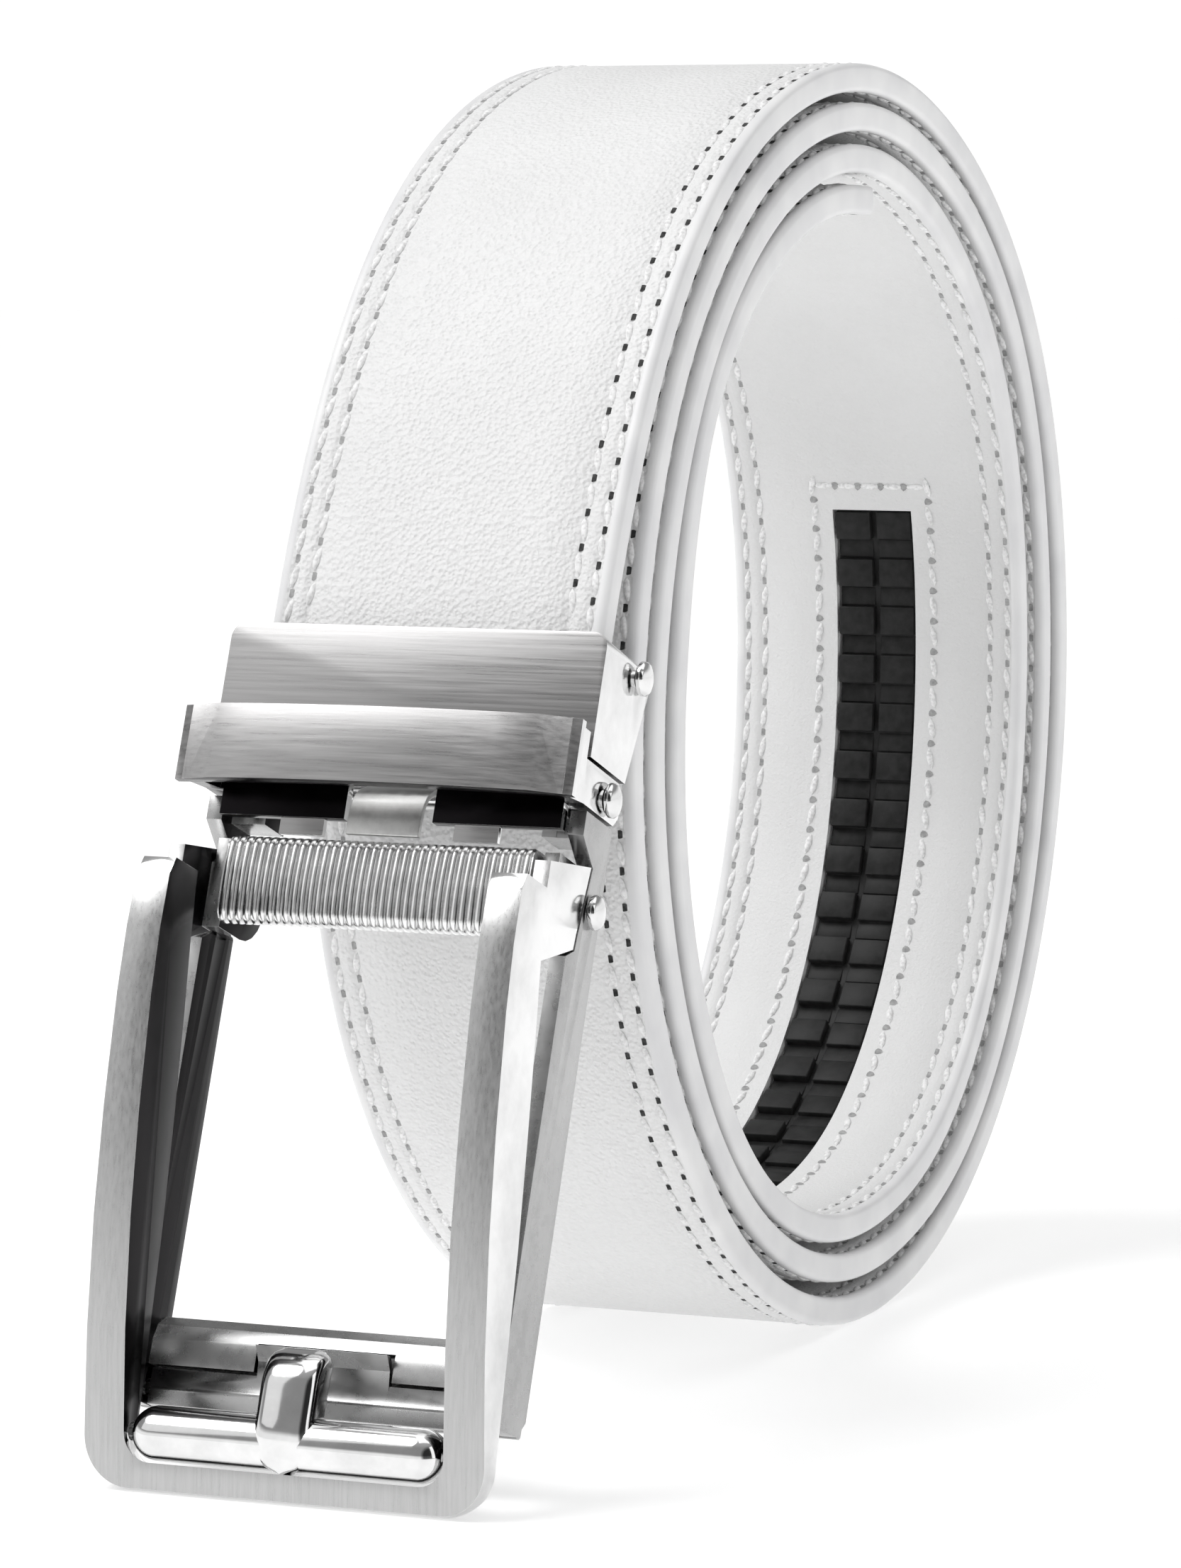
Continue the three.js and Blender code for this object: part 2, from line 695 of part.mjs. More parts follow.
// Front frame: legs and bottom rail, wings along the back frame's cheeks and ears on the frame pin
function makeFrontFrame() {
  const face = new THREE.Shape();
  const corner = frontCorner;
  const bottomHalf = halfBuckle + frontFlare;
  face.moveTo(-halfBuckle, -frontTop);
  face.lineTo(-bottomHalf, -frontBottom + corner);
  face.absarc(-bottomHalf + corner, -frontBottom + corner, corner, Math.PI, 1.5 * Math.PI);
  face.lineTo(bottomHalf - corner, -frontBottom);
  face.absarc(bottomHalf - corner, -frontBottom + corner, corner, -0.5 * Math.PI, 0);
  face.lineTo(halfBuckle, -frontTop);
  const inner = frontWindowCorner;
  const window = new THREE.Shape();
  window.moveTo(-frontWindowHalf, -frontTop + 1);
  window.lineTo(frontWindowHalf, -frontTop + 1);
  window.lineTo(frontWindowHalf, -frontWindowBottom + inner);
  window.absarc(frontWindowHalf - inner, -frontWindowBottom + inner, inner, 0, -0.5 * Math.PI, true);
  window.lineTo(-frontWindowHalf + inner, -frontWindowBottom);
  window.absarc(-frontWindowHalf + inner, -frontWindowBottom + inner, inner, -0.5 * Math.PI, -Math.PI, true);
  const legs = cut(
    common(frontPrism(face, 0, 2 * frontOut), sidePrism(frontFaces(), -bottomHalf, bottomHalf)),
    frontPrism(window, -1, 2 * frontOut + 1),
  );

  const seam = seamAt(seamGap / 2);
  const { along, back } = frontShape[2];
  const legBack = [frontTop + along * frontLength, back * frontOut + wingWall / 4];
  const wing = [
    ...seam,
    legBack,
    [legBack[0], (legBack[1] + frontOut) / 2],
    [frontTop, (frontShape[0].front * frontOut + frontShape[0].back * frontOut) / 2],
    [frontTop + 0.5, frontShape[0].back * frontOut],
    [(framePinDown + seam[0][0]) / 2, frontShape[0].back * frontOut],
  ];
  const wingPlate = sidePrism(wing, halfBuckle - wingWall, halfBuckle);
  const bracketOut = (ribbedOut + seam[2][1]) / 2;
  const ear = sidePrism(lugOut(framePinDown, 0, ribbedRadius, bracketOut), earInside, earOutside);
  const bracket = [...seam, [seam[2][0], bracketOut], [seam[0][0] + 2, bracketOut]];
  const arm = sidePrism(bracket, earInside, halfBuckle - wingWall / 2);
  const bore = crossBar(
    journalRadius + pinGap,
    innerBarDown,
    innerBarOut,
    -frontWindowHalf - journalLength - fitGap,
    frontWindowHalf + journalLength + fitGap,
  );
  return cut(
    join(legs, wingPlate, mirrored(wingPlate), ear, mirrored(ear), arm, mirrored(arm)),
    bore,
    crossHole(holeRadius, framePinDown, 0),
  );
}

// Outline of a block with round corners, its underside rising to the rear, as [down, out] points
function roundBlock(top, bottom, rear, front, radius, rise) {
  const corners = [
    [bottom - radius, front - radius],
    [top + radius, front - radius],
    [top + radius, rear + radius],
    [bottom - rise - radius, rear + radius],
  ];
  return corners.flatMap(([down, out], corner) =>
    [0, 1, 2].map((step) => {
      const turn = (Math.PI / 2) * (corner + step / 2);
      return [down + radius * Math.cos(turn), out + radius * Math.sin(turn)];
    }),
  );
}

// Ribbed bar: a block with round corners and upright ribs side by side
function makeRibbedBar() {
  const middle = framePinDown - ribbedRise;
  const outlineAt = (inset) => {
    const reach = ribbedRadius - inset;
    const rear = inset - ribbedRear;
    return roundBlock(middle - reach, middle + reach, rear, ribbedOut - inset, ribbedCorner, ribbedUnderRise);
  };
  const row = (x, inset) => outlineAt(inset).map(([down, out]) => [x, -out, -down]);
  const ribsFrom = (-ribPitch * ribCount) / 2;
  const rows = [row(-ribbedHalf, 0), row(ribsFrom, 0)];
  for (let rib = 0; rib < ribCount; rib++) {
    rows.push(row(ribsFrom + (rib + 0.5) * ribPitch, ribDepth), row(ribsFrom + (rib + 1) * ribPitch, 0));
  }
  rows.push(row(ribbedHalf, 0));
  return cut(loft(rows), crossHole(holeRadius, framePinDown, 0));
}

// Round bar journalled in the front frame, with the prong standing on it
function makeProngBar() {
  const bar = new THREE.CapsuleGeometry(innerBarRadius, 2 * innerBarHalf, 4, 16, 1);
  bar.rotateZ(Math.PI / 2).translate(0, -innerBarOut, -innerBarDown);
  const journal = frontWindowHalf + journalLength;
  const axle = crossBar(journalRadius, innerBarDown, innerBarOut, -journal, journal);
  const front = innerBarOut + innerBarRadius + prongProud;
  const rear = front - prongThickness;
  const foot = innerBarDown + prongFoot;
  const head = foot - prongLength;
  const side = [
    [head, rear],
    [head, front - 0.5 * prongThickness],
    [head + 0.08 * prongLength, front - 0.2 * prongThickness],
    [head + 0.25 * prongLength, front - 0.05 * prongThickness],
    [head + 0.6 * prongLength, front],
    [head + 0.85 * prongLength, front - 0.06 * prongThickness],
    [foot, front - 0.3 * prongThickness],
    [foot, rear],
  ];
  const half = prongWidth / 2;
  const outline = new THREE.Shape();
  outline.moveTo(-half, -head);
  outline.lineTo(-half, half - foot);
  outline.absarc(0, half - foot, half, Math.PI, 2 * Math.PI, false);
  outline.lineTo(half, -head);
  const prong = common(sidePrism(side, -half, half), frontPrism(outline, rear, front));
  return join(bar, axle, prong);
}

// Pawl: a plate hung between the rails, with a lip bent out to catch the track
function makePawl() {
  const top = barStep + fitGap;
  const half = pawlThickness / 2;
  const lipHalf = pawlLipWidth / 2;
  const plate = box(-earOutside, earOutside, top, frameBottom, pawlOut - half, pawlOut + half);
  const lipTop = barStep - pawlLipHeight + fitGap;
  const lip = [
    [top + half, pawlOut - half],
    [top + half, pawlOut + half],
    [(top + lipTop) / 2, pawlOut + half + pawlLipBend / 4],
    [lipTop, pawlOut + half + pawlLipBend],
    [lipTop, pawlOut + pawlLipBend - half / 2],
    [(top + lipTop) / 2 + half, pawlOut - half],
  ];
  const axle = crossBar(journalRadius, pawlPivotDown, pawlOut, -cheekInside - journalLength / 2, cheekInside + journalLength / 2);
  return join(plate, sidePrism(lip, -lipHalf, lipHalf), axle);
}

// A riveted pin right across the buckle, with a domed head on each cheek
function makeRivet(down, out, radius) {
  const seat = halfBuckle + fitGap;
  const profile = [[0, seat + headRim + headDome]];
  for (let i = 1; i <= 3; i++) {
    const turn = (Math.PI * i) / 6;
    profile.push([headRadius * Math.sin(turn), seat + headRim + headDome * Math.cos(turn)]);
  }
  profile.push([headRadius, seat], [radius, seat]);
  const whole = [...profile, ...profile.map(([r, x]) => [r, -x]).reverse()];
  const geometry = new THREE.LatheGeometry(whole.reverse().map(([r, x]) => new THREE.Vector2(r, x)), 16);
  return geometry.rotateZ(Math.PI / 2).translate(0, -out, -down);
}

const steel = { metalness: 1, roughness: 0.3 };
const materials = {
  leather: new THREE.MeshStandardMaterial({ color: 0xf2f2f0, roughness: 0.6 }),
  nylon: new THREE.MeshStandardMaterial({ color: 0x1c1c1c, roughness: 0.5 }),
  brushed: new THREE.MeshStandardMaterial({ ...steel, color: 0xb9b8b6 }),
  polished: new THREE.MeshStandardMaterial({ ...steel, color: 0xd8d8d8 }),
};

const pieces = [
  ['strap', makeStrap(), materials.leather],
  ['ratchet_track', makeTrack(), materials.nylon],
  ['clamp_case', placed(makeClampCase()), materials.brushed],
  ['clamp_jaw', placed(makeClampJaw()), materials.brushed],
  ['clamp_pin', placed(makeRivet(clampPinDown, clampPinOut, pinRadius)), materials.polished],
  ['keeper_loop', placed(makeKeeper()), materials.brushed],
  ['keeper_spring', placed(makeKeeperSpring()), materials.polished],
  ['hinge_pin', placed(makeRivet(0, 0, hingePinRadius)), materials.polished],
  ['back_frame', placed(makeBackFrame()), materials.brushed],
  ['front_frame', placed(makeFrontFrame()), materials.brushed],
  ['ribbed_bar', placed(makeRibbedBar()), materials.brushed],
  ['frame_pin', placed(makeRivet(framePinDown, 0, pinRadius)), materials.polished],
  ['prong_bar', placed(makeProngBar()), materials.polished],
  ['pawl', placed(makePawl()), materials.polished],
];

const belt = new THREE.Group();
for (const [name, geometry, material] of pieces) {
  const mesh = new THREE.Mesh(geometry, material);
  mesh.name = name;
  belt.add(mesh);
}

// The origin lies on the floor under the middle of the whole belt
const extent = new THREE.Box3().setFromObject(belt);
const middle = (extent.min.y + extent.max.y) / 2;
for (const mesh of belt.children) mesh.geometry.translate(0, -middle, 0);

export default belt;
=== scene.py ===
import math

import bmesh
import bpy
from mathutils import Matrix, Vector


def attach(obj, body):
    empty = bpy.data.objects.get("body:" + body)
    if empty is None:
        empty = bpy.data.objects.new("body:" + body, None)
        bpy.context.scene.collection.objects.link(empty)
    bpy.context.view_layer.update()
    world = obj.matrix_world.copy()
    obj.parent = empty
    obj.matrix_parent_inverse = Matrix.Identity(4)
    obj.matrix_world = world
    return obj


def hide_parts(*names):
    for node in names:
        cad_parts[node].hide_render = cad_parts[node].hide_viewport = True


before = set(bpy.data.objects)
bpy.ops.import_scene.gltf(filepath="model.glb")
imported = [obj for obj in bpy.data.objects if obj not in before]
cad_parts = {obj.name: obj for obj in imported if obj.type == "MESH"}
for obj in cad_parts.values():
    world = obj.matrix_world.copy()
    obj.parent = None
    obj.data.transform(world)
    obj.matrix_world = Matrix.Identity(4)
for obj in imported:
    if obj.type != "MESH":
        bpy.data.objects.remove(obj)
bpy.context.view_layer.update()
mm = 0.001
print("frame loaded")


# small helpers for the mesh work

def selectNone():
    if bpy.context.mode != "OBJECT":
        bpy.ops.object.mode_set(mode="OBJECT")
    bpy.ops.object.select_all(action="DESELECT")


def makeActive(piece):
    selectNone()
    piece.select_set(True)
    bpy.context.view_layer.objects.active = piece


def giveMaterial(piece, material):
    piece.data.materials.clear()
    piece.data.materials.append(material)


def finishPiece(piece, name, material, slotName, angle=35):
    piece.name = name
    piece.data.name = name
    giveMaterial(piece, material)
    makeActive(piece)
    bpy.ops.object.transform_apply(location=True, rotation=True, scale=True)
    bpy.ops.object.shade_smooth_by_angle(angle=math.radians(angle))


# camera, floor and studio light

cameraDims = {"place": (0.2342, -0.573, 0.1183), "yaw": 22.743, "pitch": 5.477, "lens": 180.9}
camera = bpy.data.cameras.new("photoCamera")
camera.lens = cameraDims["lens"]
camera.sensor_width = 36
camera.sensor_fit = "HORIZONTAL"
camera.clip_end = 30
cameraObject = bpy.data.objects.new("photoCamera", camera)
bpy.context.collection.objects.link(cameraObject)
cameraObject.location = cameraDims["place"]
cameraObject.rotation_euler = (math.radians(90 - cameraDims["pitch"]), 0, math.radians(cameraDims["yaw"]))
bpy.context.scene.camera = cameraObject

studioDims = {"floorSize": 12, "floorColour": 0.8, "floorGlow": 0.42, "lowBand": 1.05, "upperBand": 0.3,
              "zenith": 0.5, "flag": 0.1}


def plainMaterial(name, colour, roughness):
    material = bpy.data.materials.new(name)
    material.use_nodes = True
    shader = material.node_tree.nodes["Principled BSDF"]
    shader.inputs["Base Color"].default_value = (*colour, 1)
    shader.inputs["Roughness"].default_value = roughness
    return material


bpy.ops.mesh.primitive_plane_add(size=studioDims["floorSize"], location=(0, 0, -0.0001))
floor = bpy.context.object
floor.name = "studioFloor"
giveMaterial(floor, plainMaterial("paleFloor", (studioDims["floorColour"],) * 3, 0.55))

floorShader = floor.data.materials[0].node_tree.nodes["Principled BSDF"]
floorShader.inputs["Emission Color"].default_value = (1, 1, 1, 1)
floorShader.inputs["Emission Strength"].default_value = studioDims["floorGlow"]
bpy.context.scene.view_settings.view_transform = "Standard"


def studioWorld():
    # bright low sweep, a grey upper room and one dark flag at the right of the camera
    world = bpy.data.worlds.new("studioWorld")
    world.use_nodes = True
    tree = world.node_tree
    coords = tree.nodes.new("ShaderNodeTexCoord")
    split = tree.nodes.new("ShaderNodeSeparateXYZ")
    tree.links.new(coords.outputs["Generated"], split.inputs[0])
    height = tree.nodes.new("ShaderNodeValToRGB")
    stops = [(0.0, "lowBand"), (0.12, "lowBand"), (0.24, "upperBand"), (0.7, "upperBand"), (0.95, "zenith")]
    while len(height.color_ramp.elements) < len(stops):
        height.color_ramp.elements.new(0.5)
    for element, (place, key) in zip(height.color_ramp.elements, stops):
        element.position = place
        element.color = (*(studioDims[key] / 1.05,) * 3, 1)
    tree.links.new(split.outputs["Z"], height.inputs["Fac"])
    toFlag = tree.nodes.new("ShaderNodeVectorMath")
    toFlag.operation = "DOT_PRODUCT"
    toFlag.inputs[1].default_value = (0.8, -0.55, 0.22)
    tree.links.new(coords.outputs["Generated"], toFlag.inputs[0])
    flag = tree.nodes.new("ShaderNodeValToRGB")
    flag.color_ramp.elements[0].position = 0.78
    flag.color_ramp.elements[0].color = (1, 1, 1, 1)
    flag.color_ramp.elements[1].position = 0.9
    flag.color_ramp.elements[1].color = (*(studioDims["flag"],) * 3, 1)
    tree.links.new(toFlag.outputs["Value"], flag.inputs["Fac"])
    both = tree.nodes.new("ShaderNodeMixRGB")
    both.blend_type = "MULTIPLY"
    both.inputs["Fac"].default_value = 1
    tree.links.new(height.outputs["Color"], both.inputs["Color1"])
    tree.links.new(flag.outputs["Color"], both.inputs["Color2"])
    tree.links.new(both.outputs["Color"], tree.nodes["Background"].inputs["Color"])
    tree.nodes["Background"].inputs["Strength"].default_value = 1.05
    return world


bpy.context.scene.world = studioWorld()

lampDims = [
    {"name": "leftSoftbox", "place": (-0.75, -0.75, 0.75), "size": (0.7, 0.9), "power": 1.2},
    {"name": "topSoftbox", "place": (0.15, 0.1, 1.15), "size": (1.1, 1.1), "power": 3.6},
    {"name": "rightStrip", "place": (1.0, -0.35, 0.45), "size": (0.35, 0.9), "power": 1.2},
]
for lamp in lampDims:
    light = bpy.data.lights.new(lamp["name"], "AREA")
    light.shape = "RECTANGLE"
    light.size, light.size_y = lamp["size"]
    light.energy = lamp["power"]
    lightObject = bpy.data.objects.new(lamp["name"], light)
    bpy.context.collection.objects.link(lightObject)
    lightObject.location = lamp["place"]
    aim = Vector((0, 0, 0.06)) - Vector(lamp["place"])
    lightObject.rotation_euler = aim.to_track_quat("-Z", "Y").to_euler()
sun = bpy.data.lights.new("softSun", "SUN")
sun.energy = 1.5
sun.angle = math.radians(34)
sunObject = bpy.data.objects.new("softSun", sun)
bpy.context.collection.objects.link(sunObject)
sunObject.rotation_euler = Vector((0.55, 0.35, -1.0)).to_track_quat("-Z", "Y").to_euler()
print("studio set")


# materials

class Graph:
    def __init__(self, name):
        self.material = bpy.data.materials.new(name)
        self.material.use_nodes = True
        self.tree = self.material.node_tree
        self.shader = self.tree.nodes["Principled BSDF"]

    def node(self, kind, **values):
        made = self.tree.nodes.new("ShaderNode" + kind)
        for key, value in values.items():
            if hasattr(made, key):
                setattr(made, key, value)
            else:
                made.inputs[key.replace("_", " ")].default_value = value
        return made

    def link(self, source, target):
        self.tree.links.new(source, target)

    def place(self, scale, uv=False):
        coords = self.node("TexCoord")
        mapping = self.node("Mapping")
        mapping.inputs["Scale"].default_value = scale
        self.link(coords.outputs["UV" if uv else "Object"], mapping.inputs["Vector"])
        return mapping.outputs["Vector"]

    def ramp(self, source, low, high, start=0.0, end=1.0):
        made = self.node("ValToRGB")
        made.color_ramp.elements[0].position = start
        made.color_ramp.elements[1].position = end
        made.color_ramp.elements[0].color = (*low, 1) if isinstance(low, tuple) else (low, low, low, 1)
        made.color_ramp.elements[1].color = (*high, 1) if isinstance(high, tuple) else (high, high, high, 1)
        self.link(source, made.inputs["Fac"])
        return made.outputs["Color"]

    def bump(self, height, strength, distance, below=None):
        made = self.node("Bump", Strength=strength, Distance=distance)
        self.link(height, made.inputs["Height"])
        if below is not None:
            self.link(below, made.inputs["Normal"])
        return made.outputs["Normal"]


def leatherMaterial(name, colour, grain, depth, roughness):
    g = Graph(name)
    where = g.place((1, 1, 1))
    pebble = g.node("TexVoronoi", Scale=grain, feature="SMOOTH_F1", Smoothness=0.6)
    g.link(where, pebble.inputs["Vector"])
    fine = g.node("TexNoise", Scale=grain * 2.3, Detail=3)
    g.link(where, fine.inputs["Vector"])
    broad = g.node("TexNoise", Scale=38, Detail=4)
    g.link(where, broad.inputs["Vector"])
    low = tuple(0.93 * c for c in colour)
    g.link(g.ramp(broad.outputs["Fac"], low, colour, 0.3, 0.65), g.shader.inputs["Base Color"])
    g.link(g.ramp(fine.outputs["Fac"], roughness - 0.06, roughness + 0.08), g.shader.inputs["Roughness"])
    first = g.bump(pebble.outputs["Distance"], 0.8, depth)
    second = g.bump(fine.outputs["Fac"], 0.5, 0.00012, first)
    g.link(second, g.shader.inputs["Normal"])
    g.shader.inputs["Specular IOR Level"].default_value = 0.42
    return g.material


def edgePaintMaterial():
    g = Graph("edgePaint")
    where = g.place((1, 1, 1))
    wave = g.node("TexNoise", Scale=140, Detail=2)
    g.link(where, wave.inputs["Vector"])
    g.link(g.ramp(wave.outputs["Fac"], (0.74, 0.74, 0.75), (0.84, 0.84, 0.84), 0.3, 0.7), g.shader.inputs["Base Color"])
    g.shader.inputs["Roughness"].default_value = 0.42
    g.link(g.bump(wave.outputs["Fac"], 0.3, 0.0002), g.shader.inputs["Normal"])
    return g.material


def threadMaterial():
    g = Graph("waxedThread")
    where = g.place((1, 1, 1))
    twist = g.node("TexNoise", Scale=2600, Detail=1)
    g.link(where, twist.inputs["Vector"])
    g.link(g.ramp(twist.outputs["Fac"], (0.66, 0.66, 0.66), (0.9, 0.9, 0.9), 0.3, 0.6), g.shader.inputs["Base Color"])
    g.shader.inputs["Roughness"].default_value = 0.6
    g.link(g.bump(twist.outputs["Fac"], 0.5, 0.00008), g.shader.inputs["Normal"])
    return g.material


def metalMaterial(name, colour, roughness, streaks, streakDepth, scratches=0.0):
    # streaks are the scales of a stretched noise: small along the brushing, large across it
    g = Graph(name)
    where = g.place(streaks)
    grain = g.node("TexNoise", Scale=1, Detail=4, Roughness=0.65)
    g.link(where, grain.inputs["Vector"])
    dark = tuple(0.86 * c for c in colour)
    g.link(g.ramp(grain.outputs["Fac"], dark, colour, 0.32, 0.62), g.shader.inputs["Base Color"])
    g.link(g.ramp(grain.outputs["Fac"], roughness - streakDepth, roughness + streakDepth, 0.3, 0.7),
           g.shader.inputs["Roughness"])
    g.shader.inputs["Metallic"].default_value = 1
    if scratches:
        g.link(g.bump(grain.outputs["Fac"], scratches, 0.00003), g.shader.inputs["Normal"])
    return g.material


def nylonMaterial():
    g = Graph("blackNylon")
    where = g.place((1, 1, 1))
    speckle = g.node("TexNoise", Scale=900, Detail=4)
    g.link(where, speckle.inputs["Vector"])
    g.link(g.ramp(speckle.outputs["Fac"], (0.008, 0.008, 0.008), (0.02, 0.02, 0.02), 0.3, 0.7),
           g.shader.inputs["Base Color"])
    g.link(g.ramp(speckle.outputs["Fac"], 0.42, 0.58), g.shader.inputs["Roughness"])
    g.link(g.bump(speckle.outputs["Fac"], 0.25, 0.00005), g.shader.inputs["Normal"])
    g.shader.inputs["Specular IOR Level"].default_value = 0.2
    return g.material


# a needle hole's colour is painted shade, with a fine speckle
def holeMaterial(name, low, high):
    g = Graph(name)
    where = g.place((1, 1, 1))
    speckle = g.node("TexNoise", Scale=2200, Detail=2)
    g.link(where, speckle.inputs["Vector"])
    g.link(g.ramp(speckle.outputs["Fac"], low, high, 0.3, 0.7), g.shader.inputs["Base Color"])
    g.shader.inputs["Roughness"].default_value = 0.9
    return g.material


grainLeather = leatherMaterial("whiteLeather", (0.84, 0.84, 0.84), 2100, 0.00022, 0.5)
liningLeather = leatherMaterial("whiteLining", (0.78, 0.78, 0.78), 2600, 0.00006, 0.58)
edgePaint = edgePaintMaterial()
threadWhite = threadMaterial()
# painted shade in the needle holes: near black for the near rows, a lighter grey painted shade for the rest; both holes
# have the same depth
needleHoleShade = holeMaterial("needleHoleShade", 0.01, 0.06)
lighterShadeHole = holeMaterial("lighterShadeHole", 0.28, 0.44)
blackNylon = nylonMaterial()
brushedAcross = metalMaterial("nickelBrushedAcross", (0.42, 0.415, 0.415), 0.32, (60, 2600, 2600), 0.07, 0.25)
brushedDown = metalMaterial("nickelBrushedDown", (0.5, 0.5, 0.5), 0.3, (3200, 3200, 90), 0.05, 0.25)
polishedNickel = metalMaterial("nickelPolished", (0.8, 0.8, 0.8), 0.1, (180, 180, 180), 0.03)
ribNickel = metalMaterial("nickelRibs", (0.9, 0.9, 0.9), 0.24, (400, 400, 400), 0.05)
satinNickel = metalMaterial("nickelSatin", (0.44, 0.44, 0.44), 0.28, (500, 500, 500), 0.04)
springNickel = metalMaterial("nickelSpring", (0.7, 0.7, 0.69), 0.42, (900, 900, 900), 0.05)
# painted shade: a near-black copy of the nickel, laid on inner faces, undersides and openings where only shade falls
paintedShadeBlack = metalMaterial("nickelPaintedShade", (0.012, 0.011, 0.012), 0.22, (300, 300, 300), 0.05)
print("materials mixed")


# the way the strap runs, read from the rim of its frame node

strapDims = {
    "halfWidth": 17.5, "thickness": 3.0, "chamfer": 0.5, "step": 1.3, "edgeRound": 0.62,
    "edgeLift": 0.1, "acrossSteps": 8,
}


def strapRoute():
    # middle of the strap's thickness, as evenly spaced (y, z) points in metres from the clamp to the tip
    mesh = bmesh.new()
    mesh.from_mesh(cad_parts["strap"].data)
    bmesh.ops.remove_doubles(mesh, verts=mesh.verts, dist=2e-6)
    side = max(v.co.x for v in mesh.verts)
    rim = {v for v in mesh.verts if abs(v.co.x - side) < 2e-5}
    wall = (strapDims["thickness"] - 2 * strapDims["chamfer"]) * mm
    partner = {}
    for v in rim:
        for edge in v.link_edges:
            other = edge.other_vert(v)
            if other in rim and abs(edge.calc_length() - wall) < 0.05 * mm:
                partner[v] = other
    pairOf = {v: frozenset((v, other)) for v, other in partner.items()}
    nextTo = {pair: set() for pair in pairOf.values()}
    for pair in nextTo:
        for v in pair:
            for edge in v.link_edges:
                other = edge.other_vert(v)
                if other in pairOf and pairOf[other] != pair:
                    nextTo[pair].add(pairOf[other])
    middle = {pair: sum((v.co for v in pair), Vector()) / 2 for pair in nextTo}
    ends = [pair for pair, near in nextTo.items() if len(near) == 1]
    walk = [min(ends, key=lambda pair: middle[pair].y)]
    while len(walk) == 1 or len(nextTo[walk[-1]]) == 2:
        ahead = [pair for pair in nextTo[walk[-1]] if len(walk) < 2 or pair != walk[-2]]
        walk.append(ahead[0])
    route = [Vector((middle[pair].y, middle[pair].z)) for pair in walk]
    mesh.free()
    return route


def smoothPoint(points, at):
    # a point on the smooth curve through the points, at a place counted in spans
    i = min(int(at), len(points) - 2)
    t = at - i
    before = points[max(i - 1, 0)]
    a, b = points[i], points[i + 1]
    after = points[min(i + 2, len(points) - 1)]
    return 0.5 * ((2 * a) + (b - before) * t + (2 * before - 5 * a + 4 * b - after) * t ** 2
                  + (3 * a - before - 3 * b + after) * t ** 3)


def evenRoute(points, step):
    fine = [smoothPoint(points, i / 12) for i in range(12 * (len(points) - 1) + 1)]
    lengths = [0.0]
    for a, b in zip(fine, fine[1:]):
        lengths.append(lengths[-1] + (b - a).length)
    count = round(lengths[-1] / step)
    even = []
    j = 0
    for i in range(count + 1):
        want = lengths[-1] * i / count
        while j < len(fine) - 2 and lengths[j + 1] < want:
            j += 1
        share = (want - lengths[j]) / (lengths[j + 1] - lengths[j])
        even.append(fine[j].lerp(fine[j + 1], share))
    return even, lengths[-1]


routePoints, strapLength = evenRoute(strapRoute(), strapDims["step"] * mm)
routeNormals = []
for i in range(len(routePoints)):
    ahead = routePoints[min(i + 1, len(routePoints) - 1)] - routePoints[max(i - 1, 0)]
    routeNormals.append(Vector((-ahead.y, ahead.x)).normalized())


def onStrap(along, across, height):
    # along the strap in metres from the clamped end, across it, and up from the middle of its wall
    place = along / strapLength * (len(routePoints) - 1)
    i = max(0, min(int(place), len(routePoints) - 2))
    t = place - i
    point = routePoints[i].lerp(routePoints[i + 1], t)
    normal = routeNormals[i].lerp(routeNormals[i + 1], t).normalized()
    out = point + normal * height
    return Vector((across, out.x, max(out.y, 0.0)))


print("strap route", len(routePoints), "points", round(strapLength, 4), "m")


# the strap: grained face, smooth lining and painted edges, as one body

trackDims = {"width": 9.0, "gap": 0.3, "endToTip": 49.0, "pitch": 5.7, "teeth": 40, "pocket": 1.5}
trackEnd = strapLength - trackDims["endToTip"] * mm
trackStart = trackEnd - trackDims["teeth"] * trackDims["pitch"] * mm
windowHalf = (trackDims["width"] / 2 + trackDims["gap"]) * mm
windowFrom = trackStart - trackDims["gap"] * mm
windowTo = trackEnd + trackDims["gap"] * mm
rowDims = {"outerRow": 1.6, "innerRow": 3.7, "furrow": 0.26, "furrowHalf": 0.55}


def strapSection(pocket):
    # (across, height, part) round the strap, in millimetres; part 0 face, 1 edge, 2 lining
    half = strapDims["halfWidth"]
    top = strapDims["thickness"] / 2
    r = strapDims["edgeRound"]
    w = rowDims["furrowHalf"]
    rows = []
    for row in (rowDims["outerRow"], rowDims["innerRow"]):
        rows += [(half - row + w, 0), (half - row + w / 2, 0.6), (half - row, 1), (half - row - w / 2, 0.6),
                 (half - row - w, 0)]
    mirrored = [(-x, dip) for x, dip in reversed(rows)]
    plain = [(9.0, 0), (5.5, 0), (2.0, 0), (-2.0, 0), (-5.5, 0), (-9.0, 0)]
    points = [(x, top - dip * rowDims["furrow"], 0) for x, dip in rows + plain + mirrored]
    turn = []
    for i in range(8):
        a = math.pi * (i if i < 4 else i - 1) / 6
        turn.append((-half + r - r * math.sin(a), (top - r if i < 4 else r - top) + r * math.cos(a)))
    points += [(x, y, 1) for x, y in turn]
    side = windowHalf / mm
    floor = [(-9.0, -top), (-side, -top), (-side + 0.01, pocket - top), (0, pocket - top), (side - 0.01, pocket - top),
             (side, -top), (9.0, -top)]
    points += [(x, -top + dip * rowDims["furrow"], 2) for x, dip in reversed(mirrored)]
    points += [(x, y, 2) for x, y in floor]
    points += [(x, -top + dip * rowDims["furrow"], 2) for x, dip in reversed(rows)]
    points += [(-x, -y, 1) for x, y in turn]
    return points


